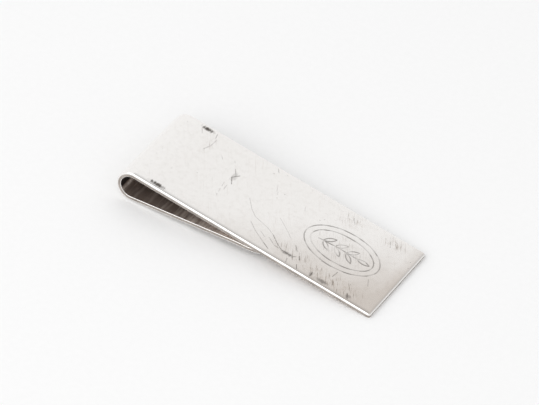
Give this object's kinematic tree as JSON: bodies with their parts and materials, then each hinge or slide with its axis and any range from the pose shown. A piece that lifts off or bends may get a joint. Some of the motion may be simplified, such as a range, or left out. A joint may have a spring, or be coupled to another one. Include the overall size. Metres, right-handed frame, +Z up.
{
  "type": "money clip",
  "caption": "One-piece sprung money clip folded from a silver strip: long flat front leaf with an engraved oval, open round fold, shorter back leaf with a rounded tongue.",
  "frame": {"origin": "the point on the table under the middle of the clip, which lies face up on its fold and on the front leaf's open end", "axes": "+X from the fold towards the open end, +Y across the leaf's width, +Z up, out of the engraved front face"},
  "size_m": [0.057, 0.022, 0.0068],
  "materials": {
    "silver_front": "worn satin-polished sterling silver, fine scratches",
    "silver_fold": "polished sterling silver outside, dark tarnish inside",
    "silver_back": "worn sterling silver outside, dark tarnish inside"
  },
  "bodies": {
    "back_leaf": {"back_leaf": "silver_back"},
    "fold": {"fold_bend": "silver_fold", "front_shoulder": "silver_front"},
    "front_leaf": {"front_leaf": "silver_front"}
  },
  "joints": [
    {"name": "fold_flex", "type": "hinge", "parent": "back_leaf", "child": "fold", "pos_m": [-0.02511, 0, 0.0034], "axis": [0, -1, 0], "range_deg": [0, 6], "stiffness_Nm_per_rad": 8.2},
    {"name": "leaf_flex", "type": "hinge", "parent": "fold", "child": "front_leaf", "pos_m": [-0.01526, 0, 0.00523], "axis": [0, -1, 0], "range_deg": [0, 4.2], "stiffness_Nm_per_rad": 7.6}
  ]
}
